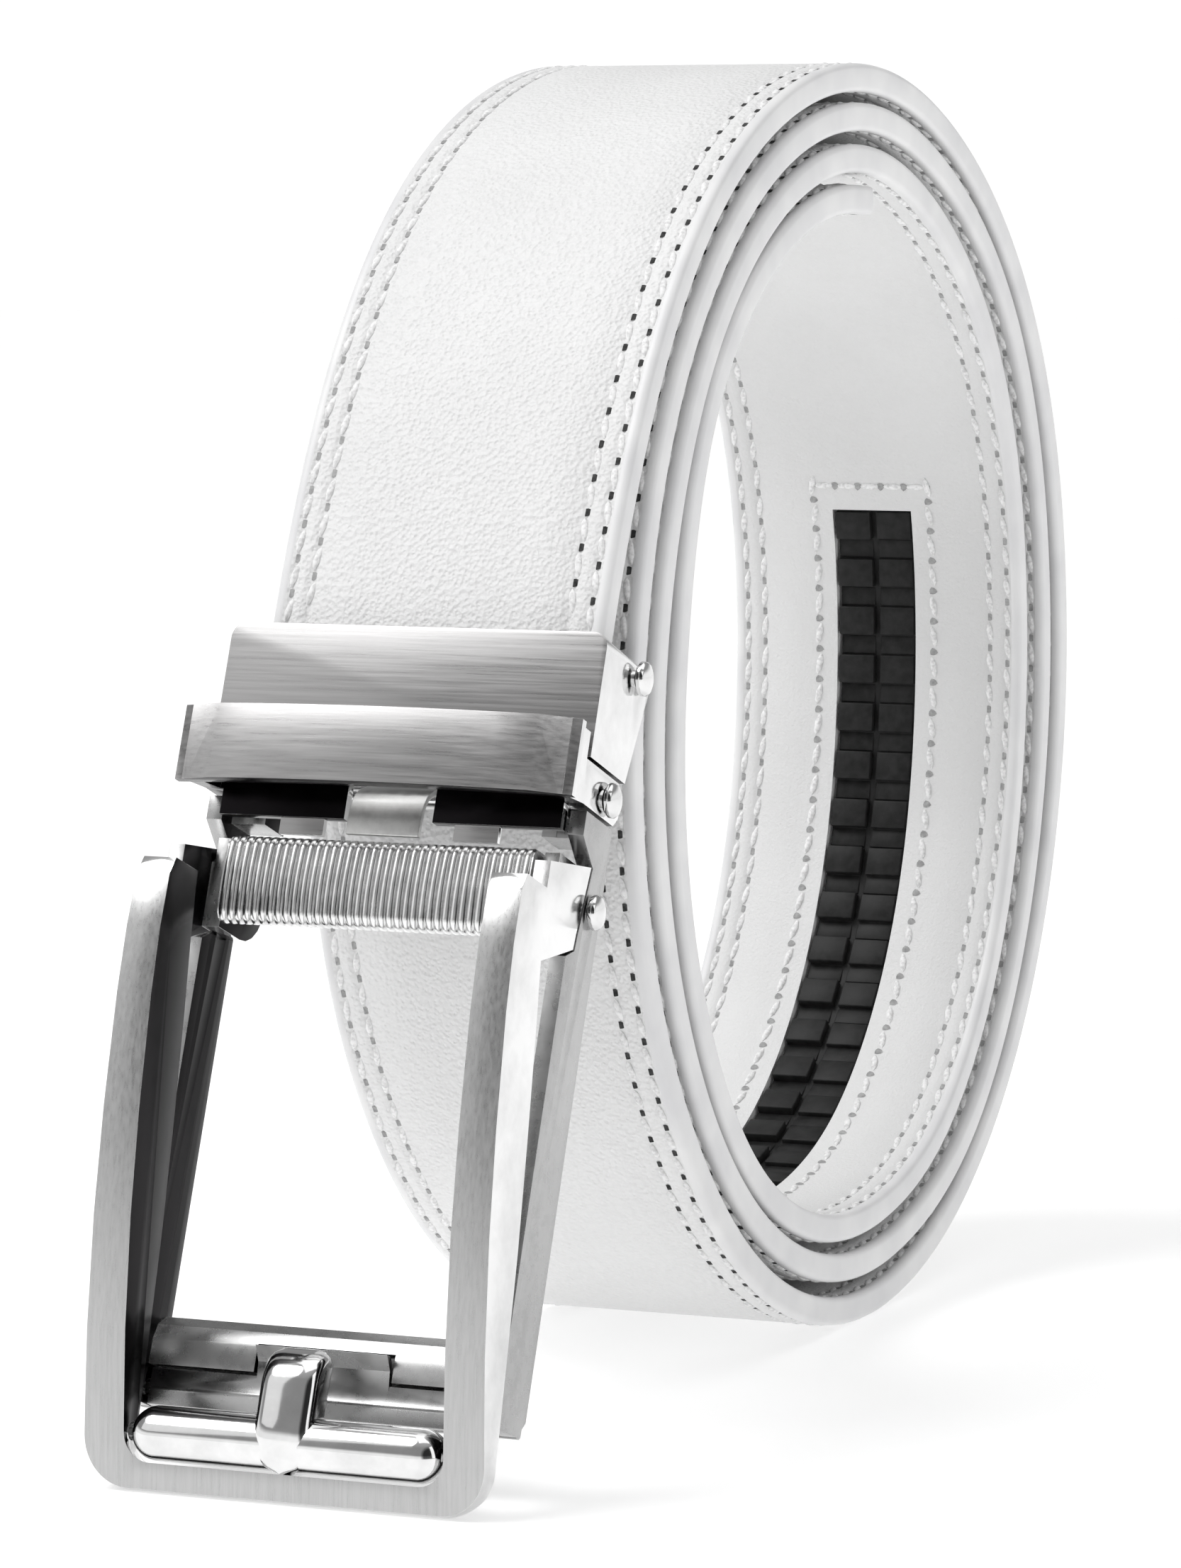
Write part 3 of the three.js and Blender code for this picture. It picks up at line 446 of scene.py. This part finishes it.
def makeStrap():
    flat = strapSection(0.0)
    sunk = strapSection(trackDims["pocket"])
    count = len(routePoints) - 1
    stops = [(strapLength * i / count) for i in range(count + 1)]
    stops = [a for a in stops if min(abs(a - windowFrom), abs(a - windowTo)) > 0.2 * mm]
    plan = [(a, sunk if windowFrom < a < windowTo else flat) for a in stops]
    plan += [(windowFrom, flat), (windowFrom + 0.01 * mm, sunk), (windowTo - 0.01 * mm, sunk), (windowTo, flat)]
    plan.sort(key=lambda stop: stop[0])
    mesh = bmesh.new()
    rows = [[mesh.verts.new(onStrap(along, x * mm, h * mm)) for x, h, part in section] for along, section in plan]
    size = len(flat)
    for a, b in zip(rows, rows[1:]):
        for k in range(size):
            j = (k + 1) % size
            face = mesh.faces.new((a[k], b[k], b[j], a[j]))
            parts = (flat[k][2], flat[j][2])
            face.material_index = 1 if 1 in parts else parts[0]
    for row in (rows[0], rows[-1]):
        mesh.faces.new(row).material_index = 1
    bmesh.ops.recalc_face_normals(mesh, faces=mesh.faces)
    data = bpy.data.meshes.new("whiteStrap")
    mesh.to_mesh(data)
    mesh.free()
    strap = bpy.data.objects.new("whiteStrap", data)
    bpy.context.collection.objects.link(strap)
    return strap


strap = makeStrap()
makeActive(strap)
for material in (grainLeather, edgePaint, liningLeather):
    strap.data.materials.append(material)
bpy.ops.object.shade_smooth_by_angle(angle=math.radians(50))
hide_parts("strap")
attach(strap, "belt")
print("strap lofted")


# stitches: one stitch and one needle hole, each modelled once and copied along the rows

stitchDims = {"pitch": 3.6, "thread": 0.4, "length": 2.7, "lift": 0.14, "hole": 0.44, "holeLong": 0.4,
              "holeLift": 0.07}


def stitchTemplate():
    selectNone()
    bpy.ops.mesh.primitive_uv_sphere_add(segments=7, ring_count=5, radius=0.5)
    piece = bpy.context.object
    bpy.ops.object.mode_set(mode="EDIT")
    bpy.ops.mesh.select_all(action="SELECT")
    bpy.ops.transform.resize(value=(2 * stitchDims["thread"], stitchDims["length"], 1.2 * stitchDims["thread"]))
    bpy.ops.object.mode_set(mode="OBJECT")
    for v in piece.data.vertices:
        v.co.x *= 1 - 0.25 * abs(2 * v.co.y / stitchDims["length"]) ** 3
        v.co.z -= 0.12 * (2 * v.co.y / stitchDims["length"]) ** 2
    return piece


def holeTemplate():
    selectNone()
    bpy.ops.mesh.primitive_cone_add(vertices=9, radius1=stitchDims["hole"], radius2=0.02, depth=0.16)
    piece = bpy.context.object
    for v in piece.data.vertices:
        v.co.y *= stitchDims["holeLong"] / stitchDims["hole"]
        v.co.z = -v.co.z * 0.3
        if v.index % 3 == 1:
            v.co.x *= 1.25
            v.co.y *= 1.2
    return piece


def alongStrap(name, template, spots, material):
    # spots are (along, across, height, turn): turn swings the copy on the strap's surface, in degrees
    verts = []
    faces = []
    source = template.data
    for along, across, height, turn, upSide in spots:
        base = len(verts)
        swing = math.radians(turn)
        for v in source.vertices:
            x = v.co.x * math.cos(swing) - v.co.y * math.sin(swing)
            y = v.co.x * math.sin(swing) + v.co.y * math.cos(swing)
            verts.append(onStrap(along + y * mm, across + x * mm, (height + v.co.z * upSide) * mm))
        for poly in source.polygons:
            order = list(poly.vertices)
            faces.append([base + i for i in (order if upSide > 0 else reversed(order))])
    data = bpy.data.meshes.new(name)
    data.from_pydata(verts, [], faces)
    piece = bpy.data.objects.new(name, data)
    bpy.context.collection.objects.link(piece)
    bpy.data.objects.remove(template)
    makeActive(piece)
    bpy.ops.object.mode_set(mode="EDIT")
    bpy.ops.mesh.select_all(action="SELECT")
    bpy.ops.mesh.normals_make_consistent(inside=False)
    bpy.ops.object.mode_set(mode="OBJECT")
    giveMaterial(piece, material)
    bpy.ops.object.shade_smooth_by_angle(angle=math.radians(60))
    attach(piece, "belt")
    return piece


def rowSpots(across, upSide, startAt, endAt, phase, forHoles, sunk=True):
    spots = []
    pitch = stitchDims["pitch"] * mm
    top = strapDims["thickness"] / 2 - (rowDims["furrow"] if sunk else 0.06)
    count = int((endAt - startAt) / pitch)
    for i in range(count):
        along = startAt + (i + phase + (0.5 if forHoles else 0.0)) * pitch
        if along > endAt:
            continue
        height = (top + (stitchDims["holeLift"] if forHoles else stitchDims["lift"])) * upSide
        turn = 0 if forHoles else 11 * upSide * (1 if across > 0 else -1)
        spots.append((along, across, height, turn, upSide))
    return spots


def crossSpots(along, halfRow, upSide, forHoles, pitch):
    spots = []
    count = round(2 * halfRow / (pitch * mm))
    top = strapDims["thickness"] / 2
    for i in range(count + 1 if forHoles else count):
        across = -halfRow + 2 * halfRow * (i + (0.0 if forHoles else 0.5)) / count
        height = (top + (0.03 if forHoles else 0.02)) * upSide
        spots.append((along, across, height, 90, upSide))
    return spots


stitchSpots = []
holeSpots = []
halfStrap = strapDims["halfWidth"]
tipRow = strapLength - rowDims["innerRow"] * mm
for upSide in (1, -1):
    for side in (1, -1):
        for row, phase in ((rowDims["outerRow"], 0.0), (rowDims["innerRow"], 0.5)):
            across = side * (halfStrap - row) * mm
            stitchSpots += rowSpots(across, upSide, 12 * mm, tipRow, phase, False)
            holeSpots += rowSpots(across, upSide, 12 * mm, tipRow, phase, True)
    for inset in (rowDims["outerRow"], rowDims["innerRow"]):
        stitchSpots += crossSpots(strapLength - inset * mm, (halfStrap - inset) * mm, upSide, False, 3.6)
        holeSpots += crossSpots(strapLength - inset * mm, (halfStrap - inset) * mm, upSide, True, 3.6)
windowDims = {"sideRow": 2.2, "endRow": 3.0}
sideAcross = windowHalf + windowDims["sideRow"] * mm
for side in (1, -1):
    stitchSpots += rowSpots(side * sideAcross, -1, windowFrom - windowDims["endRow"] * mm,
                            windowTo + windowDims["endRow"] * mm, 0.0, False, False)
    holeSpots += rowSpots(side * sideAcross, -1, windowFrom - windowDims["endRow"] * mm,
                          windowTo + windowDims["endRow"] * mm, 0.0, True, False)
for along in (windowFrom - windowDims["endRow"] * mm, windowTo + windowDims["endRow"] * mm):
    stitchSpots += crossSpots(along, sideAcross, -1, False, 2.8)
    holeSpots += crossSpots(along, sideAcross, -1, True, 2.8)
alongStrap("edgeStitches", stitchTemplate(), stitchSpots, threadWhite)
# holes in the right rows of the grained face get the dark painted shade, all other holes the lighter painted shade
nearHoles = [spot for spot in holeSpots if spot[4] > 0 and spot[1] > 0]
farHoles = [spot for spot in holeSpots if not (spot[4] > 0 and spot[1] > 0)]
alongStrap("needleHoleShades", holeTemplate(), nearHoles, needleHoleShade)
alongStrap("lighterShadeHoles", holeTemplate(), farHoles, lighterShadeHole)
print("stitches sewn", len(stitchSpots))


# ratchet track: a belt of paired blocks, each with a ramp below it

blockDims = {"half": 4.5, "groove": 0.55, "length": 3.3, "height": 1.0, "tall": 1.45, "tallSide": -1, "base": 0.45,
             "bevel": 0.14}


def blockTemplate(tall):
    selectNone()
    bpy.ops.mesh.primitive_cube_add(size=1)
    piece = bpy.context.object
    wide = blockDims["half"] - blockDims["groove"] / 2
    bpy.ops.object.mode_set(mode="EDIT")
    bpy.ops.mesh.select_all(action="SELECT")
    bpy.ops.transform.resize(value=(wide, blockDims["length"], tall))
    bpy.ops.transform.translate(value=(0, 0, tall / 2))
    bpy.ops.mesh.bevel(offset=blockDims["bevel"], segments=2, affect="EDGES")
    bpy.ops.object.mode_set(mode="OBJECT")
    for v in piece.data.vertices:
        if v.co.z > 0.5 * tall:
            v.co.z -= 0.1 * (0.5 - v.co.y / blockDims["length"])
    return piece


def rampTemplate():
    selectNone()
    bpy.ops.mesh.primitive_cube_add(size=1)
    piece = bpy.context.object
    wide = blockDims["half"] - blockDims["groove"] / 2 - 0.1
    long = trackDims["pitch"] - blockDims["length"] - 0.25
    bpy.ops.object.mode_set(mode="EDIT")
    bpy.ops.mesh.select_all(action="SELECT")
    bpy.ops.transform.resize(value=(wide, long, 0.55))
    bpy.ops.transform.translate(value=(0, 0, 0.3))
    bpy.ops.mesh.bevel(offset=0.1, segments=2, affect="EDGES")
    bpy.ops.object.mode_set(mode="OBJECT")
    for v in piece.data.vertices:
        if v.co.z > 0.3:
            v.co.z += 0.18 * (v.co.y / long)
    return piece


def makeTrack():
    floorHeight = -(strapDims["thickness"] / 2 - trackDims["pocket"] + 0.3 - 0.02)
    blocks = {1: [], -1: []}
    ramps = []
    for tooth in range(trackDims["teeth"]):
        begin = trackStart + tooth * trackDims["pitch"] * mm
        for side in (1, -1):
            across = side * (blockDims["half"] / 2 + blockDims["groove"] / 4) * mm
            blocks[side].append((begin + blockDims["length"] / 2 * mm, across, floorHeight, 0, -1))
            ramps.append((begin + (blockDims["length"] + trackDims["pitch"]) / 2 * mm, across, floorHeight, 0, -1))
    alongStrap("tallBlocks", blockTemplate(blockDims["tall"]), blocks[blockDims["tallSide"]], blackNylon)
    first = alongStrap("trackBlocks", blockTemplate(blockDims["height"]), blocks[-blockDims["tallSide"]],
                       blackNylon)
    second = alongStrap("trackRamps", rampTemplate(), ramps, blackNylon)
    selectNone()
    bpy.ops.mesh.primitive_plane_add(size=1)
    strip = bpy.context.object
    steps = trackDims["teeth"] * 3
    length = trackEnd - trackStart
    bpy.ops.object.mode_set(mode="EDIT")
    bpy.ops.mesh.select_all(action="SELECT")
    bpy.ops.transform.resize(value=(2 * blockDims["half"], length / mm, 1))
    bpy.ops.object.mode_set(mode="OBJECT")
    cut = bmesh.new()
    cut.from_mesh(strip.data)
    longEdges = [e for e in cut.edges if abs(e.verts[0].co.y - e.verts[1].co.y) > 1]
    bmesh.ops.subdivide_edges(cut, edges=longEdges, cuts=steps, use_grid_fill=True)
    lifted = bmesh.ops.extrude_face_region(cut, geom=cut.faces[:])
    for item in lifted["geom"]:
        if isinstance(item, bmesh.types.BMVert):
            item.co.z += blockDims["base"]
    bmesh.ops.recalc_face_normals(cut, faces=cut.faces)
    cut.to_mesh(strip.data)
    cut.free()
    base = alongStrap("trackBase", strip, [((trackStart + trackEnd) / 2, 0, floorHeight, 0, -1)], blackNylon)
    return first, second, base


trackPieces = makeTrack()
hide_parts("ratchet_track")
print("track laid")


# metal pieces: the frame's own shapes with their edges eased

easeDims = {
    "clamp_case": (0.3, "brushedAcross"), "clamp_jaw": (0.08, "polished"), "keeper_loop": (0.3, "brushedAcross"),
    "keeper_spring": (0.1, "spring"), "back_frame": (0.22, "satin"), "front_frame": (0.45, "brushedDown"),
    "pawl": (0.12, "satin"), "clamp_pin": (0.06, "polished"),
    "hinge_pin": (0.06, "polished"), "frame_pin": (0.06, "polished"),
}
finishes = {"brushedAcross": brushedAcross, "brushedDown": brushedDown, "polished": polishedNickel, "satin": satinNickel,
            "spring": springNickel}
tilt = math.radians(21.5)
pinCorners = [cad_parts["hinge_pin"].matrix_world @ Vector(c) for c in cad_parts["hinge_pin"].bound_box]
hinge = sum(pinCorners, Vector()) / 8
faceOut = Vector((0, -math.cos(tilt), math.sin(tilt)))
faceDown = Vector((0, -math.sin(tilt), -math.cos(tilt)))


def depthOf(at):
    # how far a place is down the buckle and out of it, in millimetres from the hinge
    away = at - hinge
    return away.dot(faceDown) / mm, away.dot(faceOut) / mm


def wallFront(at):
    return 5.4 < depthOf(at)[1] < 5.8


def easedCopy(node, width, material, body):
    selectNone()
    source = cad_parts[node]
    source.select_set(True)
    bpy.context.view_layer.objects.active = source
    bpy.ops.object.duplicate()
    piece = bpy.context.object
    for key in list(piece.keys()):
        del piece[key]
    piece.parent = None
    piece.name = "eased_" + node
    bpy.ops.object.mode_set(mode="EDIT")
    bpy.ops.mesh.select_all(action="SELECT")
    bpy.ops.mesh.remove_doubles(threshold=2e-6)
    bpy.ops.mesh.dissolve_limited(angle_limit=math.radians(1.0))
    bpy.ops.object.mode_set(mode="OBJECT")
    ease = piece.modifiers.new("ease", "BEVEL")
    ease.width = width * mm
    ease.segments = 3
    ease.limit_method = "ANGLE"
    ease.angle_limit = math.radians(28)
    ease.miter_outer = "MITER_ARC"
    bpy.ops.object.modifier_apply(modifier="ease")
    giveMaterial(piece, material)
    piece.data.materials.append(polishedNickel)
    # third slot: painted shade, near-black, for faces that sit in shade
    piece.data.materials.append(paintedShadeBlack)
    brushed = material in (brushedAcross, brushedDown)
    for poly in piece.data.polygons:
        out = poly.normal.dot(faceOut)
        down = poly.normal.dot(faceDown)
        if brushed and out < 0.93:
            poly.material_index = 1
        # painted shade: downward faces of the clamp case and keeper loop, and the keeper's front wall inside its
        # opening, take the near-black slot
        if node in ("clamp_case", "keeper_loop") and down > 0.75 and poly.area > 4 * mm * mm:
            poly.material_index = 2
        if node == "keeper_loop" and out > 0.9 and wallFront(poly.center) and poly.area > 4 * mm * mm:
            poly.material_index = 2
        # painted shade: frame leg sides facing into the window take the near-black slot; the front frame's outward
        # sides stay polished
        if node in ("front_frame", "back_frame") and abs(poly.normal.x) > 0.9 and poly.area > 4 * mm * mm:
            if poly.normal.x * poly.center.x < 0:
                poly.material_index = 2
            elif node == "front_frame":
                poly.material_index = 1
    smoothing = 55 if node.endswith("pin") else 30
    bpy.ops.object.shade_smooth_by_angle(angle=math.radians(smoothing))
    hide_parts(node)
    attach(piece, body)
    return piece


prongDims = {"barDown": 64.45, "barOut": 5.7, "radius": 2.6, "half": 16.0, "prongHalf": 3.0, "foot": 67.4,
             "length": 11.8, "thick": 4.6, "front": 8.8}


def buckleSpot(x, down, out):
    at = hinge + faceDown * down * mm + faceOut * out * mm
    return (x * mm, at.y, at.z)


def ringPiece(name, rings, material, smoothing):
    # rings of points in buckle places (x, down, out), closed at both ends
    mesh = bmesh.new()
    rows = [[mesh.verts.new(buckleSpot(*spot)) for spot in ring] for ring in rings]
    size = len(rings[0])
    for a, b in zip(rows, rows[1:]):
        for k in range(size):
            mesh.faces.new((a[k], b[k], b[(k + 1) % size], a[(k + 1) % size]))
    mesh.faces.new(rows[0])
    mesh.faces.new(rows[-1])
    bmesh.ops.recalc_face_normals(mesh, faces=mesh.faces)
    data = bpy.data.meshes.new(name)
    mesh.to_mesh(data)
    mesh.free()
    piece = bpy.data.objects.new(name, data)
    bpy.context.collection.objects.link(piece)
    makeActive(piece)
    giveMaterial(piece, material)
    bpy.ops.object.shade_smooth_by_angle(angle=math.radians(smoothing))
    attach(piece, "belt")
    return piece


def makeProng():
    d = prongDims
    bar = [(-d["half"], 0.4)] + [(-d["half"] + d["radius"] * (1 - math.cos(math.radians(9 * k))),
                                  max(0.4, d["radius"] * math.sin(math.radians(9 * k)))) for k in range(1, 11)]
    bar += [(-x, r) for x, r in reversed(bar)]
    rings = [[(x, d["barDown"] + r * math.cos(math.radians(11.25 * k)), d["barOut"] + r * math.sin(math.radians(11.25 * k)))
              for k in range(32)] for x, r in bar]
    barPiece = ringPiece("mouthBar", rings, polishedNickel, 50)
    head = d["foot"] - d["length"]
    rings = []
    steps = 22
    for step in range(steps + 1):
        t = step / steps
        down = head + d["length"] * t
        lower = max(0.0, (down - (d["foot"] - d["prongHalf"])) / d["prongHalf"])
        upper = max(0.0, (head + 1.0 - down) / 1.0)
        wide = d["prongHalf"] * max(0.06, math.sqrt(max(0.0, 1 - lower ** 2.2))) * (1 - 0.3 * upper ** 2)
        front = d["front"] - 0.5 * d["thick"] * max(0.0, 1 - 3.2 * t) ** 2.2 - 0.36 * d["thick"] * max(0.0, (t - 0.62) / 0.38) ** 2
        rear = d["front"] - d["thick"] + 0.2 * d["thick"] * upper
        middle = (front + rear) / 2
        deep = (front - rear) / 2
        ring = []
        for k in range(28):
            a = 2 * math.pi * k / 28
            c, w = math.cos(a), math.sin(a)
            power = 0.62
            ring.append((wide * math.copysign(abs(c) ** power, c), down, middle + deep * math.copysign(abs(w) ** power, w)))
        rings.append(ring)
    prong = ringPiece("prong", rings, polishedNickel, 50)
    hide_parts("prong_bar")
    return barPiece, prong


makeProng()
for node, (width, finish) in easeDims.items():
    easedCopy(node, width, finishes[finish], "pawl" if node == "pawl" else "belt")
ribDims = {"half": 15.9, "up": 4.3, "down": 4.4, "front": 6.72, "rear": -2.4, "corner": 1.3, "bow": 0.2, "rise": 2.8,
           "pitch": 0.83, "groove": 0.24, "at": 10.8}


def barSection():
    # (down, out) round the bar, with round corners and a slightly bowed front
    r = ribDims["corner"]
    corners = [(-ribDims["up"] + r, ribDims["front"] - r, 180), (ribDims["down"] - r, ribDims["front"] - r, 90),
               (ribDims["down"] - r - ribDims["rise"], ribDims["rear"] + r, 0),
               (-ribDims["up"] + r, ribDims["rear"] + r, -90)]
    points = []
    for k, (s, n, start) in enumerate(corners):
        for step in range(7):
            a = math.radians(start - 15 * step)
            points.append((s + r * math.cos(a), n + r * math.sin(a)))
        if k == 0:
            for step in range(1, 6):
                t = step / 6
                down = -ribDims["up"] + r + t * (ribDims["up"] + ribDims["down"] - 2 * r)
                points.append((down, ribDims["front"] + ribDims["bow"] * math.sin(math.pi * t)))
    return points


def makeRibs():
    section = barSection()
    middle = (0.05, (ribDims["front"] + ribDims["rear"]) / 2)
    rows = []
    mesh = bmesh.new()
    count = int(2 * ribDims["half"] / ribDims["pitch"])
    start = -count * ribDims["pitch"] / 2
    profile = [(0.0, 1.0), (0.08, 0.6), (0.18, 0.1), (0.5, 0.0), (0.82, 0.1), (0.92, 0.6)]
    stops = [(-ribDims["half"], 0.9)]
    for rib in range(count):
        stops += [(start + (rib + t) * ribDims["pitch"], depth) for t, depth in profile]
    stops += [(start + count * ribDims["pitch"], 1.0), (ribDims["half"], 0.9)]
    for x, depth in stops:
        row = []
        for s, n in section:
            toward = Vector((s - middle[0], n - middle[1])).normalized() * depth * ribDims["groove"]
            at = hinge + faceDown * (s - toward.x + ribDims["at"]) * mm + faceOut * (n - toward.y) * mm
            row.append(mesh.verts.new((x * mm, at.y, at.z)))
        rows.append(row)
    size = len(section)
    for a, b in zip(rows, rows[1:]):
        for k in range(size):
            mesh.faces.new((a[k], b[k], b[(k + 1) % size], a[(k + 1) % size]))
    mesh.faces.new(rows[0])
    mesh.faces.new(rows[-1])
    bmesh.ops.recalc_face_normals(mesh, faces=mesh.faces)
    data = bpy.data.meshes.new("ribbedBar")
    mesh.to_mesh(data)
    mesh.free()
    bar = bpy.data.objects.new("ribbedBar", data)
    bpy.context.collection.objects.link(bar)
    makeActive(bar)
    giveMaterial(bar, ribNickel)
    bpy.ops.object.shade_smooth_by_angle(angle=math.radians(50))
    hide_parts("ribbed_bar")
    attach(bar, "belt")


makeRibs()
print("buckle finished")


print("scene finished")
